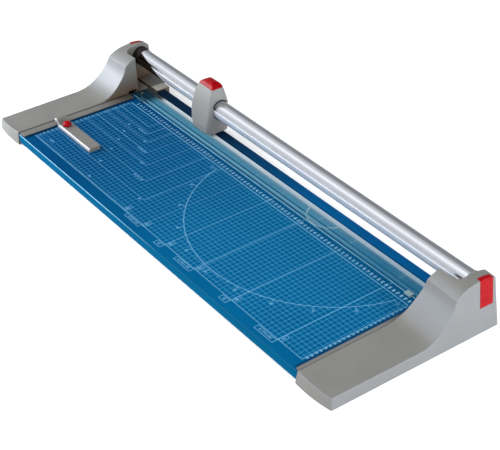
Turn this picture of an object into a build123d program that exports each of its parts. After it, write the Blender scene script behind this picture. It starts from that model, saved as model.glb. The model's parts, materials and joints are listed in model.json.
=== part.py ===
from build123d import *
import os

# Rolling paper trimmer: blue folded table, two sculpted end casings, a round
# guide tube with a sliding cutting head, a clear clamp strip and a backstop.
# Frame: X along the cut, -Y to the user, +Z up, Z = 0 where the feet stand.

os.makedirs("parts", exist_ok=True)

# ----------------------------------------------------------------- dimensions
cut_y = 138.55          # Y of the cutting datum (Y offsets below are from it)
table_z = 26.5          # height of the table surface
sheet = 2.0             # table sheet thickness
table_half = 469.0      # half length of the table
table_front = -324.2    # front face of the table's lip
lip_z = 5.5             # lower edge of the front lip
slot_front = 5.5        # blade slot: rear face of the cutting bar
slot_rear = 9.5         # blade slot: front face of the rear strip
rear_edge = 30.5        # rear face of the table
rear_half = 443.5       # half length of the rear strip

tube_y = 20.0           # guide tube axis, from the cutting datum
tube_z = 82.5
tube_r = 19.9
tube_bore = 15.7
tube_half = 533.0
groove_w = 4.2          # guide groove along the tube's front
groove_d = 1.1
groove_turn = 24.5      # degrees the groove lies above the tube's front line

case_in = 469.2         # inner wall of the casing at Z = 0
case_out_front = 556.6  # outer wall at the front, at Z = 0
case_out_rear = 563.5   # outer wall at the rear, at Z = 0
case_front = -327.2
case_rear = 49.0
case_draft = 5.5        # lean of the walls, degrees
case_lean = 7.7         # lean of the outer wall
case_bottom = 1.5       # underside of the casing above the floor
case_slope = -0.055     # the casing's top falls outwards
wall = 3.0
bay_x = 525.0           # parking bay: inner face of the thin tower wall
bay_front = -22.0
bay_r = 18.0
buffer_len = 22.0       # rubber sleeve that stops the head on the left
buffer_right = 8.0      # its shorter counterpart on the right

head_x = -248.0         # rest position of the cutting head
head_bottom = 30.8
cap_split = 129.0       # joint between the housing and its red cap
head_bore = 21.9
head_recess = 30.0      # floor of the recess round the tube, from the head's middle
head_sections = (       # height, half length, front, rear, front and rear corner radius
    (head_bottom, 33.2, -12.6, 42.5, 14.0, 15.0),
    (46.0, 35.4, -14.2, 45.2, 13.5, 15.5),
    (72.0, 36.4, -12.2, 46.2, 10.5, 15.5),
    (95.0, 33.4, -7.6, 44.4, 6.5, 16.0),
    (113.0, 29.3, -2.6, 40.0, 4.0, 13.0),
    (124.0, 26.0, 1.6, 37.0, 3.0, 10.5),
    (130.9, 23.4, 4.8, 34.2, 2.8, 8.5),
    (135.8, 18.6, 9.0, 30.6, 3.0, 6.5),
    (139.2, 9.5, 14.0, 24.5, 3.0, 4.0),
)
head_levels = (head_bottom, 38, 46, 55, 64, 72, 80, 88, 95, 101, 107, 113, 118.5, 124, 127.5, 130.9, 133.4, 135.8, 137.7, 139.2)
blade_y = 5.8
blade_t = 1.2
blade_r = 18.0
blade_z = 41.5
axle_r = 3.0
roller_r = 5.5
roller_z = 35.8
roller_dx = 16.0

strip_half = 467.0
strip_front = -43.0
strip_rear = -7.0
strip_z = 27.5
strip_t = 2.5
pin_x = 455.0
pin_y = -23.0

stop_left = -456.6      # backstop bar, left and right end
stop_right = -314.5
stop_y = -231.8
stop_w = 27.0
stop_top = 35.0
stop_hook = 44.2        # top of the bar's raised end, over the fence
knob_x = -425.5

fence_front = -322.0
fence_rear = -49.5
table_screw_r = 1.5
table_screw_x = (-458.0, 467.3)
screw_ys = (-300.0, -240.0, -170.0, -105.0, -60.0)
bar_screw_xs = (-425.0, -320.0, -190.0, -60.0, 60.0, 190.0, 320.0, 425.0)


def yz(points):
    """Section points given from the cutting datum, in the part's frame."""
    return [(y + cut_y, z) for y, z in points]


# ------------------------------------------------------------ table and blade
with BuildPart() as table_plate:
    with Locations((0, cut_y + table_front, table_z)):
        Box(2 * table_half, -slot_front - table_front, sheet, align=(Align.CENTER, Align.MIN, Align.MAX))
    # bend over the front lip
    fillet(table_plate.edges().filter_by(Axis.X).group_by(Axis.Y)[0].sort_by(Axis.Z)[-1], radius=1.8)
    # screw holes: table to ledge and fence, and the clamp's pins
    with Locations([(x, cut_y + y, table_z) for x in table_screw_x for y in screw_ys]):
        Cylinder(table_screw_r + 0.05, 12, mode=Mode.SUBTRACT)
    with Locations([(s * pin_x, cut_y + pin_y, table_z) for s in (-1, 1)]):
        Cylinder(2.5, 12, mode=Mode.SUBTRACT)
table_plate.part.label = "table_plate"
export_step(table_plate.part, "parts/table_plate.step")

with BuildPart() as table_front_lip:
    with BuildSketch(Plane.YZ.offset(-table_half)):
        with BuildLine():
            Polyline(
                yz([
                    (table_front, lip_z), (table_front, table_z - sheet), (table_front + sheet, table_z - sheet),
                    (table_front + sheet, lip_z + sheet), (table_front + 16, lip_z + sheet), (table_front + 16, lip_z),
                ]),
                close=True,
            )
        make_face()
    extrude(amount=2 * table_half)
    fillet(table_front_lip.edges().filter_by(Axis.X).group_by(Axis.Y)[0].sort_by(Axis.Z)[0], radius=1.8)
table_front_lip.part.label = "table_front_lip"
export_step(table_front_lip.part, "parts/table_front_lip.step")

# trough of the blade slot with the rear strip folded on to it
with BuildPart() as slot_rail:
    with BuildSketch(Plane.YZ.offset(-table_half)):
        with BuildLine():
            Polyline(
                yz([
                    (-slot_front - sheet, 7.0), (-slot_front - sheet, table_z - sheet), (-slot_front, table_z - sheet), (-slot_front, 9.0),
                    (slot_rear, 9.0), (slot_rear, table_z), (rear_edge, table_z), (rear_edge, 9.0), (rear_edge - sheet, 9.0),
                    (rear_edge - sheet, table_z - sheet), (slot_rear + sheet, table_z - sheet), (slot_rear + sheet, 7.0),
                ]),
                close=True,
            )
        make_face()
    extrude(amount=2 * table_half)
    fillet(slot_rail.edges().filter_by(Axis.X).group_by(Axis.Y)[-1].sort_by(Axis.Z)[-1], radius=1.8)
    # the rear strip is shorter than the table
    for side in (-1, 1):
        with Locations((side * (rear_half + 20), cut_y + slot_rear + 15, 16)):
            Box(40, 30, 40, mode=Mode.SUBTRACT)
    with BuildSketch(Plane.XZ.offset(-(cut_y - slot_front + 0.5))):
        with Locations([(x, 18.0) for x in bar_screw_xs]):
            Circle(2.05)
    extrude(amount=3.2, mode=Mode.SUBTRACT)
slot_rail.part.label = "slot_rail"
export_step(slot_rail.part, "parts/slot_rail.step")

with BuildPart() as cutting_bar:
    with BuildSketch(Plane.YZ.offset(-table_half)):
        with BuildLine():
            Polyline(
                yz([(-slot_front, 13.0), (slot_front - 2.0, 13.0), (slot_front, 17.0), (slot_front, table_z), (-slot_front, table_z)]),
                close=True,
            )
        make_face()
    extrude(amount=2 * table_half)
    with BuildSketch(Plane.XZ.offset(-(cut_y + 0.6))):
        with Locations([(x, 18.0) for x in bar_screw_xs]):
            Circle(2.02)
    extrude(amount=8, mode=Mode.SUBTRACT)
cutting_bar.part.label = "cutting_bar"
export_step(cutting_bar.part, "parts/cutting_bar.step")

with BuildPart() as cutting_bar_screws:
    with BuildSketch(Plane.XZ.offset(-(cut_y + 0.5))):
        with Locations([(x, 18.0) for x in bar_screw_xs]):
            Circle(2.0)
    extrude(amount=8.5)
    with BuildSketch(Plane.XZ.offset(-(cut_y - slot_front - sheet))):
        with Locations([(x, 18.0) for x in bar_screw_xs]):
            Circle(3.6)
    extrude(amount=2.8)
    with BuildSketch(Plane.XZ.offset(-(cut_y - slot_front - sheet - 1.4))):
        with Locations([(x, 18.0) for x in bar_screw_xs]):
            RegularPolygon(1.7, 6)
    extrude(amount=3, mode=Mode.SUBTRACT)
cutting_bar_screws.part.label = "cutting_bar_screws"
export_step(cutting_bar_screws.part, "parts/cutting_bar_screws.step")

# ------------------------------------------------------------------ guide tube
with BuildPart() as guide_tube:
    with BuildSketch(Plane.YZ.offset(-tube_half)) as section:
        with Locations((cut_y + tube_y, tube_z)):
            Circle(tube_r)
            Circle(tube_bore, mode=Mode.SUBTRACT)
        with Locations(Location((cut_y + tube_y, tube_z), -groove_turn)):
            with Locations((-tube_r, 0)):
                Rectangle(2 * groove_d, groove_w, mode=Mode.SUBTRACT)
        # eased lips of the groove
        lips = section.vertices().filter_by(lambda v: abs((v.X - cut_y - tube_y) ** 2 + (v.Y - tube_z) ** 2 - tube_r ** 2) < 0.5).sort_by(Axis.Y)
        fillet(lips[-1], radius=0.35)
        fillet(section.vertices().sort_by_distance(lips[0])[0], radius=0.8)
    extrude(amount=2 * tube_half)
guide_tube.part.label = "guide_tube"
export_step(guide_tube.part, "parts/guide_tube.step")

with BuildPart() as tube_end_plugs:
    for side in (-1, 1):
        with BuildSketch(Plane.YZ.offset(side * (tube_half - 22) - (0 if side > 0 else 22))):
            with Locations((cut_y + tube_y, tube_z)):
                Circle(tube_bore - 0.02)
                Circle(3.02, mode=Mode.SUBTRACT)
        extrude(amount=22)
tube_end_plugs.part.label = "tube_end_plugs"
export_step(tube_end_plugs.part, "parts/tube_end_plugs.step")

with BuildPart() as tube_fixing_screws:
    for side in (-1, 1):
        with BuildSketch(Plane.YZ.offset(side * (tube_half - 18) - (0 if side > 0 else 28))):
            with Locations((cut_y + tube_y, tube_z)):
                Circle(3.0)
        extrude(amount=28)
        with BuildSketch(Plane.YZ.offset(side * (tube_half + 10) - (0 if side > 0 else 4))):
            with Locations((cut_y + tube_y, tube_z)):
                Circle(6.0)
        extrude(amount=4)
        with BuildSketch(Plane.YZ.offset(side * (tube_half + 12) - (0 if side > 0 else 3))):
            with Locations((cut_y + tube_y, tube_z)):
                RegularPolygon(2.8, 6)
        extrude(amount=3, mode=Mode.SUBTRACT)
tube_fixing_screws.part.label = "tube_fixing_screws"
export_step(tube_fixing_screws.part, "parts/tube_fixing_screws.step")

with BuildPart() as tube_end_buffers:
    for start, length in ((-bay_x, buffer_len), (bay_x - buffer_right, buffer_right)):
        with BuildSketch(Plane.YZ.offset(start)):
            with Locations((cut_y + tube_y, tube_z)):
                Circle(tube_r + 0.6)
                Circle(tube_r + 0.02, mode=Mode.SUBTRACT)
        extrude(amount=length)
    fillet(tube_end_buffers.edges().filter_by(GeomType.CIRCLE).group_by(SortBy.RADIUS)[-1], radius=0.35)
tube_end_buffers.part.label = "tube_end_buffers"
export_step(tube_end_buffers.part, "parts/tube_end_buffers.step")


# -------------------------------------------------------------------- casings
def casing_plan(inset, z, rear):
    """Plan outline of the right casing, drawn inset from its walls."""
    with BuildSketch(Plane.XY.offset(z)) as outline:
        with BuildLine():
            front_in = (case_in + inset, cut_y + case_front + inset)
            front_mid = (case_in + 42, cut_y + case_front - 1.0 + inset)
            front_out = (case_out_front - inset + 0.2, cut_y + case_front + 4.6 + inset)
            rear_out = (case_out_rear - inset + 0.02 * (rear - case_rear), cut_y + rear)
            rear_in = (case_in + inset, cut_y + rear)
            ThreePointArc(front_in, front_mid, front_out)
            Line(front_out, rear_out)
            Line(rear_out, rear_in)
            Line(rear_in, front_in)
        make_face()
    return outline.sketch


def casing_profile(drop, x):
    """Side profile of the casing: low arm, hollow sweep, crease, domed top."""
    lift = -drop
    back = 0.9 * drop
    with BuildSketch(Plane.YZ.offset(x)) as profile:
        with BuildLine():
            low_front = (cut_y + case_front - 20, -20.0)
            arm_front = (cut_y + case_front - 20, 29.4 + lift)
            arm_rear = (cut_y - 142 + 0.4 * back, 29.4 + lift)
            crease = (cut_y - 47.5 + back, 94.0 + 0.35 * lift)
            top_rear = (cut_y + case_rear - 5.8 - drop, 104.6 + lift)
            low_rear = (cut_y + case_rear + 1.3 - drop, -20.0)
            Line(low_front, arm_front)
            Line(arm_front, arm_rear)
            Spline(
                arm_rear,
                (cut_y - 108 + 0.6 * back, 33.0 + 0.9 * lift),
                (cut_y - 83.5 + 0.8 * back, 45.7 + 0.7 * lift),
                (cut_y - 66.5 + 0.9 * back, 62.0 + 0.5 * lift),
                crease,
                tangents=[(1, 0), (0.36, 1.0)],
            )
            Spline(
                crease,
                (cut_y - 24.5 + 0.4 * back, 106.0 + lift),
                (cut_y + 2, 110.4 + lift),
                (cut_y + 17, 110.8 + lift),
                (cut_y + 31 - 0.4 * drop, 108.6 + lift),
                top_rear,
                tangents=[(1, 0.78), (1, -0.45)],
            )
            Line(top_rear, low_rear)
            Line(low_rear, low_front)
        make_face()
        ridge = profile.vertices().sort_by_distance((crease[0], crease[1], 0))[0]
        fillet(ridge, radius=max(0.8, 2.2 - drop))
    return profile.sketch


def casing_block(inset):
    """The casing's outer form as a plain solid, moved in (or out) by inset."""
    with BuildPart() as block:
        extrude(casing_plan(inset, case_bottom, case_rear + 21), amount=125, taper=case_draft)
        extrude(casing_profile(inset, 466), amount=112, dir=(1, 0, case_slope), mode=Mode.INTERSECT)
        # the outer wall leans in more than the others
        run = (case_out_rear - case_out_front, case_rear - case_front - 4.6)
        with BuildSketch(Plane.XZ.offset(-(cut_y + case_front - 20))) as flank:
            with BuildLine():
                foot = case_out_front - inset - 0.2 - 24.6 * run[0] / run[1]
                slant = 0.01745 * case_lean * (1 + 0.006)
                Polyline((420, -4), (foot + slant * (4 + case_bottom), -4), (foot - slant * (140 - case_bottom), 140), (420, 140), close=True)
            make_face()
        extrude(flank.sketch, amount=460, dir=(run[0], run[1], 0), mode=Mode.INTERSECT)
    return block.part


cover_y0, cover_y1, cover_z0, cover_x0 = 7.0, 36.8, 51.5, 540.5
cover_screw_xy = ((515.0, -296.0), (515.0, -200.0), (515.0, -125.0), (525.5, 10.0))

with BuildPart() as casing_body:
    add(casing_block(0))
    # upright corner at the front, then soft edges along the top
    upright = [
        e for e in casing_body.edges()
        if e.center().X > 545 and e.center().Y < cut_y + case_front + 10 and 5 < e.center().Z < 22 and abs(e.tangent_at(0.5).Z) > 0.8
    ]
    fillet(upright, radius=3.0)
    rim = [
        e for e in casing_body.edges()
        if e.center().Z > 20 and e.center().Y < cut_y + case_rear - 9
        and (e.center().X > 540 or e.center().X < 490 or e.center().Y < cut_y - 322)
    ]
    fillet(rim, radius=1.6)
    # parking bay: the tower is cut away behind its front so the head can run in
    with BuildSketch(Plane.YZ.offset(440)) as bay_section:
        with BuildLine():
            Polyline(
                yz([
                    (bay_front, 140), (bay_front, 26.7), (4.8, 26.7), (4.8, 19.0), (slot_rear + 0.4, 19.0), (slot_rear + 0.4, 27.2),
                    (80, 27.2), (80, 140),
                ]),
                close=True,
            )
        make_face()
    bay = extrude(amount=bay_x - 440, mode=Mode.PRIVATE)
    bay_corner = [
        e for e in bay.edges().filter_by(Axis.Z)
        if abs(e.center().X - bay_x) < 0.1 and abs(e.center().Y - (cut_y + bay_front)) < 0.1
    ]
    add(bay.fillet(bay_r, bay_corner), mode=Mode.SUBTRACT)
    # seat of the guide tube in the thin wall, and its screw
    with BuildSketch(Plane.YZ.offset(bay_x - 1)):
        with Locations((cut_y + tube_y, tube_z)):
            Circle(tube_r + 0.03)
    extrude(amount=tube_half - bay_x + 1, mode=Mode.SUBTRACT)
    with BuildSketch(Plane.YZ.offset(tube_half - 1)):
        with Locations((cut_y + tube_y, tube_z)):
            Circle(3.05)
    extrude(amount=14, mode=Mode.SUBTRACT)
    with BuildSketch(Plane.YZ.offset(tube_half + 10)):
        with Locations((cut_y + tube_y, tube_z)):
            Circle(6.4)
    extrude(amount=20, mode=Mode.SUBTRACT)
    # hollow arm and tower front, open below
    with Locations((520, cut_y + bay_front - 4, -5)):
        front_zone = Box(200, 320, 140, align=(Align.CENTER, Align.MAX, Align.MIN), mode=Mode.PRIVATE)
    add(casing_block(wall).intersect(front_zone), mode=Mode.SUBTRACT)
    # hollows under the bay and in the thick wall below the tube seat
    with Locations((502, cut_y - 9, 0)):
        Box(38, 22, 22, align=(Align.CENTER, Align.CENTER, Align.MIN), mode=Mode.SUBTRACT)
    with Locations((502, cut_y + 28, 0)):
        Box(40, 30, 22, align=(Align.CENTER, Align.CENTER, Align.MIN), mode=Mode.SUBTRACT)
    with Locations((541, cut_y + 12, 0)):
        Box(24, 62, 52, align=(Align.CENTER, Align.CENTER, Align.MIN), mode=Mode.SUBTRACT)
    # bosses and seat for the base cover and its screws
    with Locations([(x, cut_y + y, 3.0) for x, y in cover_screw_xy[:3]]):
        Cylinder(4.5, 22.6, align=(Align.CENTER, Align.CENTER, Align.MIN))
    extrude(casing_plan(wall - 0.1, 0, case_rear - wall), amount=3.6, mode=Mode.SUBTRACT)
    with Locations([(x, cut_y + y, 0) for x, y in cover_screw_xy]):
        Cylinder(1.52, 14, align=(Align.CENTER, Align.CENTER, Align.MIN), mode=Mode.SUBTRACT)
    # ledge that carries the table's end
    with Locations((440, cut_y - 9, table_z - sheet)):
        Box(36, 306, 3.2, align=(Align.MIN, Align.MAX, Align.MAX))
    with Locations((pin_x, cut_y + pin_y, 20)):
        Cylinder(2.5, 20, mode=Mode.SUBTRACT)
    # rear block just above table height, beside the rear strip
    with Locations((444, cut_y + slot_rear, 8)):
        Box(34, 32, 21.6, align=(Align.MIN, Align.MIN, Align.MIN))
    # mouth in the inner wall at the end of the clear strip
    with BuildSketch(Plane.YZ.offset(468)):
        with Locations((cut_y - 37.5, 29.6)):
            RectangleRounded(21, 10, 2.5)
    extrude(amount=14, mode=Mode.SUBTRACT)
    # recess for the red screw cover, over the outer top edge
    with Locations((cover_x0, cut_y + cover_y0 - 0.15, cover_z0 - 0.15)):
        cover_zone = Box(60, cover_y1 - cover_y0 + 0.3, 90, align=(Align.MIN, Align.MIN, Align.MIN), mode=Mode.PRIVATE)
    add(cover_zone.cut(casing_block(2.7)), mode=Mode.SUBTRACT)

with BuildPart() as right_casing:
    add(casing_body.part)
    with Locations([(table_screw_x[1], cut_y + y, 20) for y in screw_ys]):
        Cylinder(table_screw_r + 0.05, 20, mode=Mode.SUBTRACT)
right_casing.part.label = "right_casing"
export_step(right_casing.part, "parts/right_casing.step")

with BuildPart() as left_casing:
    mirror(casing_body.part, about=Plane.YZ)
    with Locations([(table_screw_x[0], cut_y + y, 20) for y in screw_ys]):
        Cylinder(table_screw_r + 0.05, 20, mode=Mode.SUBTRACT)
left_casing.part.label = "left_casing"
export_step(left_casing.part, "parts/left_casing.step")

with BuildPart() as right_screw_cover:
    with Locations((cover_x0 + 0.2, cut_y + cover_y0, cover_z0)):
        Box(60, cover_y1 - cover_y0, 90, align=(Align.MIN, Align.MIN, Align.MIN))
    add(casing_block(-0.5), mode=Mode.INTERSECT)
    add(casing_block(2.6), mode=Mode.SUBTRACT)
right_screw_cover.part.label = "right_screw_cover"
export_step(right_screw_cover.part, "parts/right_screw_cover.step")

with BuildPart() as left_screw_cover:
    mirror(right_screw_cover.part, about=Plane.YZ)
left_screw_cover.part.label = "left_screw_cover"
export_step(left_screw_cover.part, "parts/left_screw_cover.step")

with BuildPart() as right_base_cover:
    extrude(casing_plan(wall, case_bottom, case_rear - wall - 0.1), amount=2.0)
    with Locations([(x, cut_y + y, 0) for x, y in cover_screw_xy]):
        Cylinder(1.6, 10, mode=Mode.SUBTRACT)
    with Locations([(x, cut_y + y, case_bottom) for x, y in cover_screw_xy]):
        Cylinder(3.2, 1.2, align=(Align.CENTER, Align.CENTER, Align.MIN), mode=Mode.SUBTRACT)
right_base_cover.part.label = "right_base_cover"
export_step(right_base_cover.part, "parts/right_base_cover.step")

with BuildPart() as left_base_cover:
    mirror(right_base_cover.part, about=Plane.YZ)
left_base_cover.part.label = "left_base_cover"
export_step(left_base_cover.part, "parts/left_base_cover.step")

with BuildPart() as base_cover_screws:
    both = [(s * x, cut_y + y) for s in (-1, 1) for x, y in cover_screw_xy]
    with Locations([(x, y, case_bottom + 0.1) for x, y in both]):
        Cylinder(2.9, 1.1, align=(Align.CENTER, Align.CENTER, Align.MIN))
        Cylinder(1.5, 12, align=(Align.CENTER, Align.CENTER, Align.MIN))
    with Locations([(x, y, case_bottom + 0.1) for x, y in both]):
        Box(0.8, 4, 1.2, mode=Mode.SUBTRACT)
base_cover_screws.part.label = "base_cover_screws"
export_step(base_cover_screws.part, "parts/base_cover_screws.step")

with BuildPart() as rubber_feet:
    with Locations([(s * x, cut_y + y, 0) for s in (-1, 1) for x, y in ((515.0, -270.0), (506.0, 28.0))]):
        Cylinder(11, case_bottom, align=(Align.CENTER, Align.CENTER, Align.MIN))
    chamfer(rubber_feet.edges().filter_by(lambda e: e.center().Z < 0.1), length=0.5)
rubber_feet.part.label = "rubber_feet"
export_step(rubber_feet.part, "parts/rubber_feet.step")

# --------------------------------------------------------------------- fences
fence_len = fence_rear - fence_front
with BuildPart() as left_fence:
    with BuildSketch(Plane.XZ.offset(-(cut_y + fence_rear))):
        with BuildLine():
            Polyline(
                [(-468.8, table_z), (-453, table_z), (-453, 29.0), (-448.5, 29.0), (-448.5, 30.2), (-449.3, 31.0), (-470.3, 31.0), (-471.1, 30.2), (-471.1, 27.4), (-468.8, 27.4)],
                close=True,
            )
        make_face()
    extrude(amount=fence_len)
    with Locations([(table_screw_x[0], cut_y + y, table_z - 1) for y in screw_ys]):
        Cylinder(table_screw_r + 0.02, 4.2, align=(Align.CENTER, Align.CENTER, Align.MIN), mode=Mode.SUBTRACT)
left_fence.part.label = "left_fence"
export_step(left_fence.part, "parts/left_fence.step")

with BuildPart() as right_fence:
    with BuildSketch(Plane.XZ.offset(-(cut_y + fence_rear))):
        with BuildLine():
            Polyline([(464.8, table_z), (471.3, table_z), (471.3, 29.3), (470.8, 29.8), (465.3, 29.8), (464.8, 29.3)], close=True)
        make_face()
    extrude(amount=fence_len)
    with Locations([(table_screw_x[1], cut_y + y, table_z - 1) for y in screw_ys]):
        Cylinder(table_screw_r + 0.02, 3.4, align=(Align.CENTER, Align.CENTER, Align.MIN), mode=Mode.SUBTRACT)
right_fence.part.label = "right_fence"
export_step(right_fence.part, "parts/right_fence.step")

with BuildPart() as table_screws:
    ledge_z = table_z - sheet - 3.2
    with Locations([(x, cut_y + y, ledge_z) for x in table_screw_x for y in screw_ys]):
        Cylinder(table_screw_r, 7.4, align=(Align.CENTER, Align.CENTER, Align.MIN))
    with Locations([(x, cut_y + y, ledge_z) for x in table_screw_x for y in screw_ys]):
        Cylinder(3.0, 2.6, align=(Align.CENTER, Align.CENTER, Align.MAX))
    with Locations([(x, cut_y + y, ledge_z - 2.6) for x in table_screw_x for y in screw_ys]):
        Box(1.0, 5.0, 1.6, mode=Mode.SUBTRACT)
table_screws.part.label = "table_screws"
export_step(table_screws.part, "parts/table_screws.step")

# ---------------------------------------------------------------------- clamp
with BuildPart() as clamp_strip:
    with BuildSketch(Plane.YZ.offset(-strip_half)):
        with BuildLine():
            Polyline(
                yz([
                    (strip_front, strip_z), (strip_rear, strip_z), (strip_rear, strip_z + 1.6), (strip_rear - 1.2, strip_z + strip_t),
                    (-29.4, strip_z + strip_t), (-30.4, strip_z + 3.6), (-34.2, strip_z + 3.6), (-35.2, strip_z + strip_t),
                    (strip_front + 0.8, strip_z + strip_t), (strip_front, strip_z + 1.8),
                ]),
                close=True,
            )
        make_face()
    extrude(amount=2 * strip_half)
    with Locations([(s * pin_x, cut_y + pin_y, strip_z) for s in (-1, 1)]):
        Cylinder(2.48, 20, mode=Mode.SUBTRACT)
clamp_strip.part.label = "clamp_strip"
export_step(clamp_strip.part, "parts/clamp_strip.step")

with BuildPart() as clamp_end_clips:
    with Locations([(s * 432, cut_y + strip_front - 3.02, strip_z + strip_t + 0.02) for s in (-1, 1)]):
        Box(16, 10.4, 1.4, align=(Align.CENTER, Align.MIN, Align.MIN))
    with Locations([(s * 432, cut_y + strip_front - 0.02, strip_z + 0.1) for s in (-1, 1)]):
        Box(16, 3.0, 3.82, align=(Align.CENTER, Align.MAX, Align.MIN))
    fillet(clamp_end_clips.edges().filter_by(Axis.X).group_by(Axis.Z)[-1], radius=0.6)
clamp_end_clips.part.label = "clamp_end_clips"
export_step(clamp_end_clips.part, "parts/clamp_end_clips.step")

with BuildPart() as clamp_guide_pins:
    with Locations([(s * pin_x, cut_y + pin_y, 18.8) for s in (-1, 1)]):
        Cylinder(2.4, 11.7, align=(Align.CENTER, Align.CENTER, Align.MIN))
        Cylinder(4.4, 2.5, align=(Align.CENTER, Align.CENTER, Align.MIN))
    with Locations([(s * pin_x, cut_y + pin_y, strip_z + strip_t + 0.4) for s in (-1, 1)]):
        Cylinder(4.2, 1.8, align=(Align.CENTER, Align.CENTER, Align.MIN))
    fillet(clamp_guide_pins.edges().filter_by(lambda e: e.center().Z > 32), radius=0.6)
clamp_guide_pins.part.label = "clamp_guide_pins"
export_step(clamp_guide_pins.part, "parts/clamp_guide_pins.step")

with BuildPart() as clamp_spring_washers:
    with Locations([(s * pin_x, cut_y + pin_y, table_z) for s in (-1, 1)]):
        Cylinder(5.0, 0.98, align=(Align.CENTER, Align.CENTER, Align.MIN))
    with Locations([(s * pin_x, cut_y + pin_y, table_z) for s in (-1, 1)]):
        Cylinder(2.7, 5, mode=Mode.SUBTRACT)
clamp_spring_washers.part.label = "clamp_spring_washers"
export_step(clamp_spring_washers.part, "parts/clamp_spring_washers.step")


# --------------------------------------------------------------- cutting head
def head_level(z):
    """Section values at a height, eased smoothly between the listed ones."""
    rows = head_sections
    k = max(i for i in range(len(rows) - 1) if rows[i][0] <= z)
    a, b = rows[k], rows[k + 1]
    before, after = rows[max(k - 1, 0)], rows[min(k + 2, len(rows) - 1)]
    t = (z - a[0]) / (b[0] - a[0])
    values = []
    for n in range(1, 6):
        slope_a = (b[n] - before[n]) / (b[0] - before[0]) * (b[0] - a[0])
        slope_b = (after[n] - a[n]) / (after[0] - a[0]) * (b[0] - a[0])
        values.append(
            a[n] * (1 + 2 * t) * (1 - t) ** 2 + slope_a * t * (1 - t) ** 2 + b[n] * t * t * (3 - 2 * t) + slope_b * t * t * (t - 1)
        )
    return values


def head_block():
    """Outer form of the head: an upright loaf that narrows to a small dome."""
    c = 1 - 0.5 ** 0.5
    with BuildPart() as block:
        for z in head_levels:
            half, front, rear, rf, rr = head_level(z)
            x0, x1, y0, y1 = head_x - half, head_x + half, cut_y + front, cut_y + rear
            with BuildSketch(Plane.XY.offset(z)):
                with BuildLine():
                    Line((x0 + rf, y0), (x1 - rf, y0))
                    ThreePointArc((x1 - rf, y0), (x1 - rf * c, y0 + rf * c), (x1, y0 + rf))
                    Line((x1, y0 + rf), (x1, y1 - rr))
                    ThreePointArc((x1, y1 - rr), (x1 - rr * c, y1 - rr * c), (x1 - rr, y1))
                    Line((x1 - rr, y1), (x0 + rr, y1))
                    ThreePointArc((x0 + rr, y1), (x0 + rr * c, y1 - rr * c), (x0, y1 - rr))
                    Line((x0, y1 - rr), (x0, y0 + rf))
                    ThreePointArc((x0, y0 + rf), (x0 + rf * c, y0 + rf * c), (x0 + rf, y0))
                make_face()
        loft()
    return block.part


head_form = head_block()

with BuildPart() as head_housing:
    add(head_form)
    with Locations((head_x, cut_y + 20, cap_split)):
        Box(120, 120, 40, align=(Align.CENTER, Align.CENTER, Align.MIN), mode=Mode.SUBTRACT)
    # way through for the guide tube and its bushes
    with BuildSketch(Plane.YZ.offset(head_x - 60)):
        with Locations((cut_y + tube_y, tube_z)):
            Circle(head_bore)
    extrude(amount=120, mode=Mode.SUBTRACT)
    # square-shouldered recess round the tube at both ends, open to the rear
    for side in (-1, 1):
        with BuildSketch(Plane.YZ.offset(head_x + side * head_recess - (0 if side > 0 else 40))):
            with BuildLine():
                hole = tube_r + 1.0
                y0, y1, z1 = tube_y - hole, 70.0, 108.0
                corner = 8.0 * (1 - 0.70711)
                Line((cut_y + y0, tube_z), (cut_y + y0, z1 - 8))
                ThreePointArc((cut_y + y0, z1 - 8), (cut_y + y0 + corner, z1 - corner), (cut_y + y0 + 8, z1))
                Polyline(*yz([(y0 + 8, z1), (y1, z1), (y1, tube_z - hole), (tube_y, tube_z - hole)]))
                ThreePointArc(
                    (cut_y + tube_y, tube_z - hole), (cut_y + tube_y - hole * 0.70711, tube_z - hole * 0.70711), (cut_y + y0, tube_z),
                )
            make_face()
        extrude(amount=40, mode=Mode.SUBTRACT)
    # blade chamber, open below
    with Locations((head_x, cut_y + 3.5, 20)):
        Box(42, 8.6, 41, align=(Align.CENTER, Align.MIN, Align.MIN), mode=Mode.SUBTRACT)
    # pockets of the press rollers
    with Locations([(head_x + s * roller_dx, cut_y - 11.2, 20) for s in (-1, 1)]):
        Box(12.4, 8.2, 22.5, align=(Align.CENTER, Align.MIN, Align.MIN), mode=Mode.SUBTRACT)
    # axle holes
    with BuildSketch(Plane.XZ.offset(-(cut_y + 17))):
        with Locations((head_x, blade_z)):
            Circle(axle_r + 0.02)
    extrude(amount=25, mode=Mode.SUBTRACT)
    with BuildSketch(Plane.XZ.offset(-(cut_y - 0.5))):
        with Locations([(head_x + s * roller_dx, roller_z) for s in (-1, 1)]):
            Circle(1.52)
    extrude(amount=12.2, mode=Mode.SUBTRACT)
    # cap screws, sunk in from the tube's way
    with Locations([(head_x + s * 11, cut_y + tube_y, 95) for s in (-1, 1)]):
        Cylinder(1.55, 50, align=(Align.CENTER, Align.CENTER, Align.MIN), mode=Mode.SUBTRACT)
        Cylinder(3.2, 13.5, align=(Align.CENTER, Align.CENTER, Align.MIN), mode=Mode.SUBTRACT)
    # hollow behind the chamber, open below
    with Locations((head_x, cut_y + 17.5, 20)):
        Box(46, 18, 28, align=(Align.CENTER, Align.MIN, Align.MIN), mode=Mode.SUBTRACT)
head_housing.part.label = "head_housing"
export_step(head_housing.part, "parts/head_housing.step")

with BuildPart() as head_cap:
    add(head_form)
    with Locations((head_x, cut_y + 20, cap_split)):
        Box(120, 120, 150, align=(Align.CENTER, Align.CENTER, Align.MAX), mode=Mode.SUBTRACT)
    with Locations([(head_x + s * 11, cut_y + tube_y, cap_split - 1) for s in (-1, 1)]):
        Cylinder(1.52, 6.4, align=(Align.CENTER, Align.CENTER, Align.MIN), mode=Mode.SUBTRACT)
head_cap.part.label = "head_cap"
export_step(head_cap.part, "parts/head_cap.step")

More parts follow.
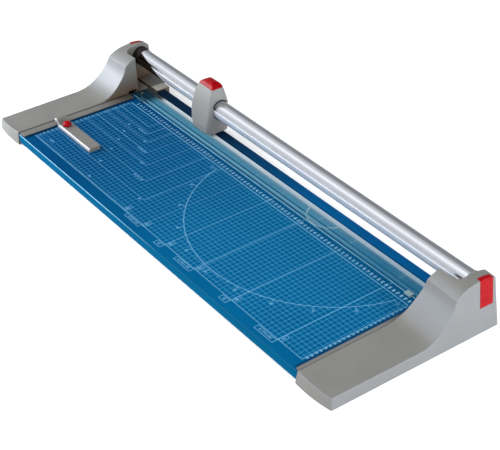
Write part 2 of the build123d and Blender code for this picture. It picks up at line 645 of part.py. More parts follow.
with BuildPart() as head_cap_screws:
    with Locations([(head_x + s * 11, cut_y + tube_y, 106) for s in (-1, 1)]):
        Cylinder(1.5, 28, align=(Align.CENTER, Align.CENTER, Align.MIN))
        Cylinder(3.0, 2.4, align=(Align.CENTER, Align.CENTER, Align.MIN))
    with Locations([(head_x + s * 11, cut_y + tube_y, 106) for s in (-1, 1)]):
        Box(0.9, 4.2, 1.8, mode=Mode.SUBTRACT)
head_cap_screws.part.label = "head_cap_screws"
export_step(head_cap_screws.part, "parts/head_cap_screws.step")

for name, side in (("left_slide_bush", -1), ("right_slide_bush", 1)):
    with BuildPart() as slide_bush:
        with BuildSketch(Plane.YZ.offset(head_x + side * 18 - (0 if side > 0 else 9))):
            with Locations((cut_y + tube_y, tube_z)):
                Circle(head_bore - 0.03)
                Circle(tube_r + 0.08, mode=Mode.SUBTRACT)
            with Locations(Location((cut_y + tube_y, tube_z), -groove_turn)):
                with Locations((-tube_r - 0.5, 0)):
                    Rectangle(2.4, groove_w - 1.2)
        extrude(amount=9)
    slide_bush.part.label = name
    export_step(slide_bush.part, "parts/" + name + ".step")

with BuildPart() as blade_axle:
    with BuildSketch(Plane.XZ.offset(-(cut_y + 16.6))):
        with Locations((head_x, blade_z)):
            Circle(axle_r)
    extrude(amount=24)
blade_axle.part.label = "blade_axle"
export_step(blade_axle.part, "parts/blade_axle.step")

with BuildPart() as blade_spring_washer:
    with BuildSketch(Plane.XZ.offset(-(cut_y + 12.0))):
        with Locations((head_x, blade_z)):
            Circle(6.0)
            Circle(axle_r + 0.05, mode=Mode.SUBTRACT)
    extrude(amount=1.0)
blade_spring_washer.part.label = "blade_spring_washer"
export_step(blade_spring_washer.part, "parts/blade_spring_washer.step")

with BuildPart() as roller_axles:
    with BuildSketch(Plane.XZ.offset(-(cut_y - 0.7))):
        with Locations([(head_x + s * roller_dx, roller_z) for s in (-1, 1)]):
            Circle(1.5)
    extrude(amount=11.8)
roller_axles.part.label = "roller_axles"
export_step(roller_axles.part, "parts/roller_axles.step")

with BuildPart() as blade_disc:
    with BuildSketch(Plane.XZ.offset(-(cut_y + blade_y + blade_t))):
        with Locations((head_x, blade_z)):
            Circle(blade_r)
            Circle(5.02, mode=Mode.SUBTRACT)
    extrude(amount=blade_t)
    rim_edge = [e for e in blade_disc.edges().filter_by(GeomType.CIRCLE) if e.radius > 17 and e.center().Y > cut_y + blade_y + 0.6]
    chamfer(rim_edge, length=0.9, length2=2.4)
blade_disc.part.label = "blade_disc"
export_step(blade_disc.part, "parts/blade_disc.step")

with BuildPart() as blade_hub:
    with BuildSketch(Plane.XZ.offset(-(cut_y + blade_y + blade_t))):
        with Locations((head_x, blade_z)):
            Circle(5.0)
    extrude(amount=2.2)
    with BuildSketch(Plane.XZ.offset(-(cut_y + 10.7))):
        with Locations((head_x, blade_z)):
            Circle(8.0)
    extrude(amount=10.7 - blade_y - blade_t)
    with BuildSketch(Plane.XZ.offset(-(cut_y + 12))):
        with Locations((head_x, blade_z)):
            Circle(axle_r + 0.06)
    extrude(amount=20, mode=Mode.SUBTRACT)
blade_hub.part.label = "blade_hub"
export_step(blade_hub.part, "parts/blade_hub.step")

for name, side in (("left_press_roller", -1), ("right_press_roller", 1)):
    with BuildPart() as press_roller:
        with BuildSketch(Plane.XZ.offset(-(cut_y - 3.5))):
            with Locations((head_x + side * roller_dx, roller_z)):
                Circle(roller_r)
                Circle(1.56, mode=Mode.SUBTRACT)
        extrude(amount=7.4)
        fillet([e for e in press_roller.edges().filter_by(GeomType.CIRCLE) if e.radius > 5], radius=0.7)
    press_roller.part.label = name
    export_step(press_roller.part, "parts/" + name + ".step")

# ------------------------------------------------------------------- backstop
with BuildPart() as backstop_bar:
    # side profile: flat bar whose left end rises in a hook over the fence
    with BuildSketch(Plane.XZ.offset(-(cut_y + stop_y + stop_w / 2))):
        with BuildLine():
            foot = table_z + 0.5
            Polyline((-442.4, foot), (stop_right, foot), (stop_right, stop_top), (-435.4, stop_top))
            Spline(
                (-435.4, stop_top), (-438.8, 36.1), (-443.4, 40.4), (-447.4, 43.4), (-451.5, stop_hook),
                tangents=[(-1, 0), (-1, 0)],
            )
            Line((-451.5, stop_hook), (stop_left + 2.6, stop_hook))
            RadiusArc((stop_left + 2.6, stop_hook), (stop_left, stop_hook - 2.6), -2.6)
            Polyline((stop_left, stop_hook - 2.6), (stop_left, 39.0), (-448.5, 38.2), (-443.8, 36.0), (-442.4, foot))
        make_face()
    extrude(amount=stop_w)
    # bevel along the whole upper front edge, soft corners at the right end
    face = backstop_bar.faces().filter_by(Axis.Y).sort_by(Axis.Y)[0]
    bevel = [
        e for e in face.edges()
        if e.center().Z > 40 and e.center().X > stop_left + 0.2 or e.center().X > -436 and e.center().Z > stop_top - 0.1
    ]
    chamfer(bevel, length=2.5)
    uprights = [e for e in backstop_bar.edges().filter_by(Axis.Z) if e.center().X > stop_right - 0.5]
    fillet(uprights, radius=1.5)
    # room for the clamp shoe, and the stud's hole
    with Locations((-450, cut_y + stop_y, table_z - 2)):
        Box(33, 15.0, 4.6, align=(Align.MIN, Align.CENTER, Align.MIN), mode=Mode.SUBTRACT)
    with Locations((knob_x, cut_y + stop_y, 30)):
        Cylinder(2.6, 30, mode=Mode.SUBTRACT)
backstop_bar.part.label = "backstop_bar"
export_step(backstop_bar.part, "parts/backstop_bar.step")

with BuildPart() as backstop_shoe:
    with Locations((-452.5, cut_y + stop_y, table_z + 0.4)):
        Box(35, 14.6, 1.8, align=(Align.MIN, Align.CENTER, Align.MIN))
    with Locations((knob_x, cut_y + stop_y, 30)):
        Cylinder(2.55, 30, mode=Mode.SUBTRACT)
backstop_shoe.part.label = "backstop_shoe"
export_step(backstop_shoe.part, "parts/backstop_shoe.step")

with BuildPart() as backstop_knob:
    with BuildSketch(Plane.XZ.offset(-(cut_y + stop_y))):
        with BuildLine():
            z0 = stop_top + 0.4
            Line((knob_x, z0), (knob_x + 8.0, z0))
            Line((knob_x + 8.0, z0), (knob_x + 9.0, z0 + 1.0))
            Spline(
                (knob_x + 9.0, z0 + 1.0), (knob_x + 9.0, z0 + 4.0), (knob_x + 6.4, z0 + 7.6), (knob_x, z0 + 9.2),
                tangents=[(0.15, 1), (-1, 0)],
            )
            Line((knob_x, z0 + 9.2), (knob_x, z0))
        make_face()
    revolve(axis=Axis((knob_x, cut_y + stop_y, 0), (0, 0, 1)))
    with Locations((knob_x, cut_y + stop_y, z0 - 1)):
        Cylinder(2.52, 6, align=(Align.CENTER, Align.CENTER, Align.MIN), mode=Mode.SUBTRACT)
backstop_knob.part.label = "backstop_knob"
export_step(backstop_knob.part, "parts/backstop_knob.step")

with BuildPart() as backstop_stud:
    with Locations((knob_x, cut_y + stop_y, table_z + 0.5)):
        Cylinder(2.5, z0 + 4.8 - table_z - 0.5, align=(Align.CENTER, Align.CENTER, Align.MIN))
backstop_stud.part.label = "backstop_stud"
export_step(backstop_stud.part, "parts/backstop_stud.step")
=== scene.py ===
import bpy
import bmesh
import json
import math
from mathutils import Matrix, Vector


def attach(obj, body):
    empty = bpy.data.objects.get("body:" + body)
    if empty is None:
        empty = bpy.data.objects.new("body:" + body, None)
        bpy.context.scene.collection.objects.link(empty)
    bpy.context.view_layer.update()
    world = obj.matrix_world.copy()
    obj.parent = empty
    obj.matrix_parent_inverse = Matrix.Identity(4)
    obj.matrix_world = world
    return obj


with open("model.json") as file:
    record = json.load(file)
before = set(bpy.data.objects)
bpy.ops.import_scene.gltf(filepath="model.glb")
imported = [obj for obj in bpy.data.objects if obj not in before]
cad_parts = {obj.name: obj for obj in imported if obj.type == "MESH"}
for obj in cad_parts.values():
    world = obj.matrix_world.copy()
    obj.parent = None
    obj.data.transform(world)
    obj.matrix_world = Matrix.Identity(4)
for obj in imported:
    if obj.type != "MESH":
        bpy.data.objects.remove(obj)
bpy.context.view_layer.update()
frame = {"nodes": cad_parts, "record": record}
nodes = frame["nodes"]
scene = bpy.context.scene
scene.view_settings.view_transform = "Standard"

CUT = 0.13855      # Y of the cutting datum in the part's frame
TOP = 0.0265       # table surface
GRID0 = 453.0      # grid origin, mm left of the part's centre


def P(gx, y, z=TOP):
    """A point given in the table's printed grid: mm from its left border, mm from the cutting datum."""
    return Vector(((gx - GRID0) / 1000.0, y / 1000.0 + CUT, z))


# ------------------------------------------------------------------ materials
class Mat:
    """A small helper around one node material with a Principled shader."""

    def __init__(self, name):
        self.m = bpy.data.materials.new(name)
        self.m.use_nodes = True
        self.t = self.m.node_tree
        self.t.nodes.clear()
        self.out = self.t.nodes.new("ShaderNodeOutputMaterial")
        self.b = self.t.nodes.new("ShaderNodeBsdfPrincipled")
        self.link(self.b.outputs["BSDF"], self.out.inputs["Surface"])
        self.coord = self.t.nodes.new("ShaderNodeTexCoord")

    def link(self, a, b):
        self.t.links.new(a, b)

    def set(self, **values):
        for key, value in values.items():
            self.b.inputs[key.replace("_", " ")].default_value = value
        return self

    def mapped(self, scale):
        mp = self.t.nodes.new("ShaderNodeMapping")
        mp.inputs["Scale"].default_value = scale
        self.link(self.coord.outputs["Object"], mp.inputs["Vector"])
        return mp.outputs["Vector"]

    def noise(self, scale=(1, 1, 1), detail=4.0, rough=0.55):
        n = self.t.nodes.new("ShaderNodeTexNoise")
        n.inputs["Scale"].default_value = 1.0
        n.inputs["Detail"].default_value = detail
        n.inputs["Roughness"].default_value = rough
        self.link(self.mapped(scale), n.inputs["Vector"])
        return n.outputs["Fac"]

    def voronoi(self, scale=(1, 1, 1)):
        n = self.t.nodes.new("ShaderNodeTexVoronoi")
        n.inputs["Scale"].default_value = 1.0
        self.link(self.mapped(scale), n.inputs["Vector"])
        return n.outputs["Distance"]

    def ramp(self, fac, stops):
        r = self.t.nodes.new("ShaderNodeValToRGB")
        while len(r.color_ramp.elements) < len(stops):
            r.color_ramp.elements.new(0.5)
        for e, (pos, col) in zip(r.color_ramp.elements, stops):
            e.position = pos
            e.color = (*col, 1.0) if len(col) == 3 else col
        self.link(fac, r.inputs["Fac"])
        return r.outputs["Color"]

    def span(self, fac, low, high, lo_in=0.3, hi_in=0.7):
        r = self.t.nodes.new("ShaderNodeMapRange")
        r.inputs["From Min"].default_value = lo_in
        r.inputs["From Max"].default_value = hi_in
        r.inputs["To Min"].default_value = low
        r.inputs["To Max"].default_value = high
        self.link(fac, r.inputs["Value"])
        return r.outputs["Result"]

    def mix(self, fac, a, b):
        m = self.t.nodes.new("ShaderNodeMix")
        m.data_type = "RGBA"
        for value, socket in ((fac, m.inputs[0]), (a, m.inputs[6]), (b, m.inputs[7])):
            if hasattr(value, "is_output"):
                self.link(value, socket)
            else:
                socket.default_value = value if isinstance(value, float) else (*value, 1.0)
        return m.outputs[2]

    def place(self, axis):
        """One coordinate of the surface point, in metres in the part's frame."""
        part = self.t.nodes.new("ShaderNodeSeparateXYZ")
        self.link(self.coord.outputs["Object"], part.inputs["Vector"])
        return part.outputs[axis]

    def facing(self, axis, normal="True Normal"):
        """One component of the surface's normal."""
        geo = self.t.nodes.new("ShaderNodeNewGeometry")
        part = self.t.nodes.new("ShaderNodeSeparateXYZ")
        self.link(geo.outputs[normal], part.inputs["Vector"])
        return part.outputs[axis]

    def maths(self, operation, a, b):
        n = self.t.nodes.new("ShaderNodeMath")
        n.operation = operation
        for value, socket in ((a, n.inputs[0]), (b, n.inputs[1])):
            if isinstance(value, float):
                socket.default_value = value
            else:
                self.link(value, socket)
        return n.outputs["Value"]

    def shade(self, colour, brown, dark, reach):
        """Paints shade into a colour from ambient occlusion: a warm brown in half-hidden hollows and a dark tone in
        deep gaps.
        """
        ao = self.t.nodes.new("ShaderNodeAmbientOcclusion")
        ao.samples = 8
        ao.only_local = True
        ao.inputs["Distance"].default_value = reach
        warm = self.mix(self.span(ao.outputs["AO"], 1.0, 0.0, 0.3, 0.85), colour, brown)
        return self.mix(self.span(ao.outputs["AO"], 1.0, 0.0, 0.02, 0.3), warm, dark)

    def colour(self, out):
        self.link(out, self.b.inputs["Base Color"])
        return self

    def rough(self, out):
        self.link(out, self.b.inputs["Roughness"])
        return self

    def bump(self, out, strength=0.1, distance=0.0002):
        n = self.t.nodes.new("ShaderNodeBump")
        n.inputs["Strength"].default_value = strength
        n.inputs["Distance"].default_value = distance
        self.link(out, n.inputs["Height"])
        old = self.b.inputs["Normal"]
        if old.is_linked:
            self.link(old.links[0].from_socket, n.inputs["Normal"])
        self.link(n.outputs["Normal"], self.b.inputs["Normal"])
        return self


def srgb(r, g, b):
    """A colour given as seen on screen, 0 to 255, in the shader's linear values."""
    def lin(v):
        v = v / 255.0
        return v / 12.92 if v <= 0.04045 else ((v + 0.055) / 1.055) ** 2.4
    return (lin(r), lin(g), lin(b))


def plastic(name, light, dark, rough=(0.38, 0.52), grain=2600.0, bump=0.12, spec=0.45, painted_hollow_shade=None):
    """Moulded plastic: slow tone drift, fine speckle, and a fine textured skin; given hollow colours, it also paints
    shade into hollows and gaps.
    """
    k = Mat(name)
    drift = k.noise((14, 14, 14), 3.0)
    tone = k.ramp(drift, [(0.3, dark), (0.7, light)])
    speck = k.noise((grain, grain, grain), 2.0, 0.6)
    tone = k.mix(k.span(speck, 0.0, 0.22), tone, tuple(c * 0.78 for c in dark))
    k.colour(k.shade(tone, *painted_hollow_shade) if painted_hollow_shade else tone)
    k.rough(k.span(k.noise((60, 60, 60), 4.0), *rough))
    k.bump(k.voronoi((grain * 0.5,) * 3), bump, 0.00006)
    k.bump(speck, bump * 0.8, 0.00004)
    return k.set(Specular_IOR_Level=spec)


def steel(name, light, dark, rough=(0.22, 0.38), along=(12, 1800, 1800), bump=0.08, metallic=1.0):
    """Metal with fine drawn or ground lines along one direction."""
    k = Mat(name)
    lines = k.noise(along, 5.0, 0.65)
    k.colour(k.mix(k.span(k.noise((25, 25, 25), 3.0), 0.0, 0.6), k.ramp(lines, [(0.3, dark), (0.7, light)]), light))
    k.rough(k.span(lines, *rough))
    k.bump(lines, bump, 0.00003)
    return k.set(Metallic=metallic)


M = {}

k = Mat("table_enamel")
cloud = k.noise((5, 5, 5), 3.0)
left_shaded_tone = k.ramp(cloud, [(0.3, srgb(0, 59, 101)), (0.7, srgb(0, 64, 108))])
right_tone = k.ramp(cloud, [(0.3, srgb(1, 79, 120)), (0.7, srgb(2, 85, 128))])
# The table is painted darker towards its left end: painted shade, not a tone of the enamel.
tone = k.mix(k.span(k.place("X"), 0.0, 1.0, -0.3, 0.08), left_shaded_tone, right_tone)
k.colour(k.mix(k.span(k.noise((900, 900, 900), 2.0), 0.0, 0.12), tone, srgb(0, 54, 96)))
k.rough(k.span(k.noise((40, 40, 40), 4.0), 0.34, 0.46))
k.bump(k.noise((420, 420, 420), 2.0), 0.06, 0.0001)
k.set(Specular_IOR_Level=0.015)
M["table_blue"] = k.m


def enamel(name, light, dark, spec):
    """Blue enamel of the folded edges, with the sheet's own drift and fine orange peel."""
    k = Mat(name)
    k.colour(k.mix(k.span(k.noise((900, 900, 900), 2.0), 0.0, 0.15), k.ramp(k.noise((6, 6, 6), 3.0), [(0.3, dark), (0.7, light)]), tuple(c * 0.8 for c in dark)))
    k.rough(k.span(k.noise((40, 40, 40), 4.0), 0.34, 0.46))
    k.bump(k.noise((420, 420, 420), 2.0), 0.06, 0.0001)
    return k.set(Specular_IOR_Level=spec).m


lip_enamel = enamel("lip_enamel", srgb(0, 86, 123), srgb(0, 80, 116), 0.003)

k = Mat("rail_enamel")
drift = k.noise((6, 6, 6), 3.0)
left_shaded_tone = k.ramp(drift, [(0.3, srgb(2, 30, 56)), (0.7, srgb(2, 36, 64))])
right_tone = k.ramp(drift, [(0.3, srgb(0, 76, 126)), (0.7, srgb(0, 82, 134))])
# The rail is painted dark towards the left: painted shadow of the head and the tube.
k.colour(k.mix(k.span(k.place("X"), 0.0, 1.0, -0.2, 0.12), left_shaded_tone, right_tone))
k.rough(k.span(k.noise((40, 40, 40), 4.0), 0.34, 0.46))
k.bump(k.noise((420, 420, 420), 2.0), 0.06, 0.0001)
rail_enamel = k.set(Specular_IOR_Level=0.03).m

k = Mat("print_ink")
k.colour(k.ramp(k.noise((160, 160, 160), 3.0), [(0.3, srgb(92, 154, 190)), (0.7, srgb(112, 174, 206))]))
k.rough(k.span(k.noise((300, 300, 300), 2.0), 0.42, 0.6))
M["ink"] = k.m

k = Mat("print_ink_fine")
shaded_left_ink = k.ramp(k.noise((160, 160, 160), 3.0), [(0.3, srgb(32, 112, 156)), (0.7, srgb(46, 126, 168))])
clear = k.ramp(k.noise((160, 160, 160), 3.0), [(0.3, srgb(44, 134, 180)), (0.7, srgb(60, 148, 192))])
# The grid lines are painted darker towards the left, matching the painted shade on the table.
k.colour(k.mix(k.span(k.place("X"), 0.0, 1.0, -0.4, 0.1), shaded_left_ink, clear))
k.rough(k.span(k.noise((300, 300, 300), 2.0), 0.42, 0.6))
M["ink_fine"] = k.m

k = Mat("print_ink_bright")
k.colour(k.ramp(k.noise((160, 160, 160), 3.0), [(0.3, srgb(136, 188, 214)), (0.7, srgb(160, 206, 228))]))
k.rough(k.span(k.noise((300, 300, 300), 2.0), 0.42, 0.6))
M["ink_bright"] = k.m

k = Mat("fold_highlight_paint")
# Painted highlight on the fold's bend: pale at the left, blending into the lip's blue towards the right.
painted_bend_highlight = k.ramp(k.noise((60, 8, 60), 3.0), [(0.3, srgb(134, 190, 216)), (0.7, srgb(158, 210, 230))])
k.colour(k.mix(k.span(k.place("X"), 0.0, 1.0, -0.14, 0.06), painted_bend_highlight, srgb(4, 82, 118)))
k.rough(k.span(k.noise((300, 300, 300), 2.0), 0.3, 0.5))
k.set(Specular_IOR_Level=0.03)
M["fold"] = k.m

k = Mat("print_ink_navy")
# Navy for the painted shadows beside the clear strip and the left fence, and for the dark band at the right.
k.colour(k.ramp(k.noise((60, 60, 60), 3.0), [(0.3, srgb(0, 50, 88)), (0.7, srgb(0, 59, 98))]))
k.rough(k.span(k.noise((300, 300, 300), 2.0), 0.42, 0.6))
k.set(Specular_IOR_Level=0.05)
M["ink_navy"] = k.m

bar = steel("ground_bar", srgb(214, 224, 228), srgb(192, 203, 209), (0.34, 0.5), (8, 900, 900), 0.1, 0.3)
tone = bar.mix(bar.span(bar.place("X"), 0.0, 0.85, -0.3, 0.36), bar.b.inputs["Base Color"].links[0].from_socket, srgb(142, 168, 186))
tone = bar.mix(bar.span(bar.place("Y"), 0.3, 0.0, CUT - 0.0012, CUT + 0.0006), tone, srgb(138, 162, 178))
# The bar's left end is painted dark: painted shadow of the left casing.
bar.colour(bar.mix(bar.span(bar.place("X"), 0.95, 0.0, -0.416, -0.398), tone, srgb(18, 30, 42)))
M["bar_steel"] = bar.m
M["screw_steel"] = steel("zinc_plate", srgb(190, 190, 192), srgb(140, 142, 146), (0.25, 0.4), (500, 500, 500), 0.06).m
M["pin_steel"] = steel("plain_steel", srgb(200, 200, 202), srgb(160, 160, 162), (0.2, 0.35), (900, 900, 60), 0.05).m
M["washer_steel"] = steel("spring_steel", srgb(150, 150, 152), srgb(96, 96, 98), (0.3, 0.45), (700, 700, 700), 0.05).m
M["blade_steel"] = steel("honed_steel", srgb(214, 216, 218), srgb(168, 170, 174), (0.15, 0.3), (1200, 40, 1200), 0.05).m
tube = steel("drawn_aluminium", srgb(224, 227, 234), srgb(206, 209, 217), (0.16, 0.24), (5, 2200, 2200), 0.08)
# Painted highlight: a near-white line along the groove's lower lip on the tube's front, with less metal there.
ahead = tube.span(tube.place("Y"), 1.0, 0.0, 0.145, 0.15)
lip_low = tube.span(tube.place("Z"), 0.0, 1.0, 0.0860, 0.0866)
lip_high = tube.span(tube.place("Z"), 1.0, 0.0, 0.0880, 0.0886)
painted_lip_highlight = tube.maths("MULTIPLY", ahead, tube.maths("MULTIPLY", lip_low, lip_high))
tube.colour(tube.mix(painted_lip_highlight, tube.b.inputs["Base Color"].links[0].from_socket, srgb(252, 253, 255)))
# Painted reflection: the tube's front-lower side near the left casing is painted dark brown, as the casing's dark
# inside shows in it.
slant = tube.maths("ADD", tube.maths("MULTIPLY", tube.place("Z"), 0.651), tube.maths("MULTIPLY", tube.place("Y"), 0.759))
slant = tube.maths("ADD", slant, tube.maths("MULTIPLY", tube.place("X"), 0.263))
painted_tower_reflection = tube.span(slant, 1.0, 0.0, 0.0442, 0.0467)
tube.colour(tube.mix(painted_tower_reflection, tube.b.inputs["Base Color"].links[0].from_socket, srgb(36, 22, 17)))
satin = tube.span(tube.place("Z"), 0.2, 1.0, 0.0855, 0.0890)
tube.link(tube.maths("MULTIPLY", satin, tube.span(painted_lip_highlight, 1.0, 0.1, 0.0, 1.0)), tube.b.inputs["Metallic"])
M["tube_aluminium"] = tube.m
fence = steel("anodised_strip", srgb(114, 112, 109), srgb(99, 97, 94), (0.4, 0.55), (1500, 10, 1500), 0.08, 0.2)
# The strip is painted darker towards the rear: painted shadow under the tower.
tone = fence.mix(fence.span(fence.place("Y"), 0.0, 0.75, CUT - 0.14, CUT - 0.065), fence.b.inputs["Base Color"].links[0].from_socket, srgb(52, 44, 36))
# A dark line painted along the gap beside the casing: painted shade in the gap.
painted_gap_shade = fence.maths("MULTIPLY", fence.span(fence.place("X"), 0.0, 1.0, -0.4686, -0.4680), fence.span(fence.place("X"), 1.0, 0.0, -0.4652, -0.4645))
fence.colour(fence.mix(painted_gap_shade, tone, srgb(46, 36, 29)))
M["fence_grey"] = fence.m

# The casing gets painted shade: warm brown in its hollows and near-black in deep gaps.
casing = plastic("casing_moulding", srgb(119, 118, 114), srgb(112, 111, 107), (0.34, 0.46), painted_hollow_shade=(srgb(98, 78, 56), srgb(28, 19, 13), 0.07))
tone = casing.b.inputs["Base Color"].links[0].from_socket
# Inward faces low down are painted brown: painted shade at the foot of the inner walls.
inward = casing.span(casing.maths("MULTIPLY", casing.facing("X"), casing.place("X")), 1.0, 0.0, -0.44, -0.25)
low_down = casing.span(casing.place("Z"), 0.85, 0.0, 0.03, 0.085)
tone = casing.mix(casing.maths("MULTIPLY", inward, low_down), tone, srgb(92, 72, 52))
# Faces sloping forward and up are painted lighter and cooler: painted light on the sweeps.
forward = casing.span(casing.facing("Y", "Normal"), 1.0, 0.0, -0.75, -0.3)
rising = casing.span(casing.facing("Z", "Normal"), 0.0, 1.0, 0.25, 0.5)
tone = casing.mix(casing.maths("MULTIPLY", forward, rising), tone, srgb(128, 130, 134))
# Outward faces are painted cooler: painted light from the right-hand side.
outward = casing.span(casing.maths("MULTIPLY", casing.facing("X"), casing.place("X")), 0.0, 0.4, 0.25, 0.44)
tone = casing.mix(outward, tone, srgb(112, 114, 119))
# Upward faces at the casings' inner edge, the rear block's top, are painted light: a painted pool of light.
lit_block_top = casing.span(casing.maths("ABSOLUTE", casing.place("X"), 0.0), 1.0, 0.0, 0.4655, 0.4685)
upward = casing.span(casing.facing("Z"), 0.0, 1.0, 0.6, 0.9)
casing.colour(casing.mix(casing.maths("MULTIPLY", lit_block_top, upward), tone, srgb(196, 190, 178)))
M["casing_grey"] = casing.m
# The head gets painted shade in its own hollows and close gaps.
head = plastic("head_moulding", srgb(132, 130, 127), srgb(125, 123, 120), (0.34, 0.46), painted_hollow_shade=(srgb(100, 92, 84), srgb(30, 23, 18), 0.02))
M["head_grey"] = head.m
M["base_grey"] = plastic("base_moulding", srgb(84, 84, 86), srgb(72, 72, 74), (0.5, 0.65)).m
k = plastic("stop_moulding", srgb(115, 112, 108), srgb(106, 103, 99), (0.26, 0.36))
tone = k.b.inputs["Base Color"].links[0].from_socket
facing = k.t.nodes.new("ShaderNodeNewGeometry")
front_side = k.t.nodes.new("ShaderNodeSeparateXYZ")
k.link(facing.outputs["True Normal"], front_side.inputs["Vector"])
# Forward faces are painted lighter: a painted highlight on the bar's front and bevel.
k.colour(k.mix(k.span(front_side.outputs["Y"], 1.0, 0.0, -0.75, -0.5), tone, srgb(146, 145, 150)))
M["stop_grey"] = k.m
M["roller_grey"] = plastic("roller_moulding", srgb(176, 176, 172), srgb(160, 160, 156), (0.4, 0.55)).m
k = plastic("clip_moulding", srgb(158, 182, 190), srgb(142, 168, 178), (0.35, 0.5))
# The left clip is painted dark: painted shadow of the left casing.
k.colour(k.mix(k.span(k.place("X"), 0.0, 1.0, -0.1, 0.1), srgb(34, 84, 114), k.b.inputs["Base Color"].links[0].from_socket))
k.set(Alpha=0.6)
M["clip_pale"] = k.m
M["plug_black"] = plastic("plug_moulding", srgb(34, 34, 36), srgb(24, 24, 26), (0.45, 0.6)).m
M["bush_black"] = plastic("bush_moulding", srgb(32, 31, 30), srgb(22, 21, 20), (0.35, 0.5), 1800.0, 0.06).m
M["hub_black"] = plastic("hub_moulding", srgb(42, 42, 42), srgb(32, 32, 32), (0.4, 0.55)).m
k = plastic("buffer_rubber", srgb(27, 20, 17), srgb(20, 14, 12), (0.6, 0.8), 1500.0, 0.2, 0.2)
k.colour(k.mix(k.span(k.place("X"), 0.0, 1.0, -0.1, 0.1), k.b.inputs["Base Color"].links[0].from_socket, srgb(132, 134, 138)))
M["buffer_black"] = k.m
M["foot_rubber"] = plastic("foot_rubber", srgb(36, 36, 36), srgb(26, 26, 26), (0.65, 0.85), 1200.0, 0.25).m


def red(name):
    k = Mat(name)
    k.colour(k.ramp(k.noise((30, 30, 30), 3.0), [(0.3, srgb(136, 1, 8)), (0.7, srgb(148, 2, 12))]))
    k.rough(k.span(k.noise((120, 120, 120), 4.0), 0.22, 0.34))
    k.bump(k.noise((1200, 1200, 1200), 2.0), 0.05, 0.00005)
    return k.set(Specular_IOR_Level=0.1).m


M["cover_red"] = red("cover_gloss_red")
M["knob_red"] = red("knob_gloss_red")

k = Mat("clear_strip")
# Bands across the strip paint the ridge's highlight and the dark lines of its profile: painted highlights and painted
# shade.
painted_ridge_bands = k.ramp(k.span(k.place("Y"), 0.0, 1.0, CUT - 0.043, CUT - 0.007), [
    (0.0, srgb(84, 142, 174)), (0.05, srgb(36, 96, 130)), (0.13, srgb(10, 68, 102)), (0.19, srgb(44, 108, 140)), (0.27, srgb(106, 160, 184)),
    (0.32, srgb(122, 174, 196)), (0.38, srgb(76, 130, 152)), (0.435, srgb(18, 74, 104)), (0.475, srgb(22, 84, 116)), (0.525, srgb(80, 146, 176)),
    (0.68, srgb(78, 140, 168)), (0.84, srgb(92, 138, 158)), (1.0, srgb(144, 174, 190))])
painted_ridge_bands = k.mix(k.span(k.place("X"), 0.0, 0.6, 0.14, 0.34), painted_ridge_bands, srgb(14, 102, 142))
painted_ridge_bands = k.mix(k.span(k.noise((9, 700, 700), 4.0), 0.0, 0.2), painted_ridge_bands, srgb(50, 118, 150))
# The strip's left end is painted dark and made less clear: painted shadow of the left casing.
k.colour(k.mix(k.span(k.place("X"), 0.92, 0.0, -0.425, -0.4), painted_ridge_bands, srgb(3, 30, 46)))
k.link(k.span(k.place("X"), 0.94, 0.58, -0.425, -0.4), k.b.inputs["Alpha"])
k.rough(k.span(k.noise((40, 400, 400), 4.0), 0.24, 0.34))
k.bump(k.noise((8, 900, 900), 3.0), 0.05, 0.0001)
k.set(IOR=1.49, Specular_IOR_Level=0.06)
M["clamp_clear"] = k.m

k = Mat("strip_mark")
k.colour(k.ramp(k.noise((200, 200, 200), 3.0), [(0.3, srgb(172, 204, 212)), (0.7, srgb(192, 220, 226))]))
k.rough(k.span(k.noise((300, 300, 300), 2.0), 0.4, 0.6))
k.set(Alpha=0.3)
M["strip_mark"] = k.m

slot_of = {s["node"]: s["material_slot"] for s in frame["record"]["subparts"]}
own = {"table_front_lip": lip_enamel, "slot_rail": rail_enamel}
for name, obj in nodes.items():
    obj.data.materials.clear()
    obj.data.materials.append(own.get(name, M[slot_of[name]]))


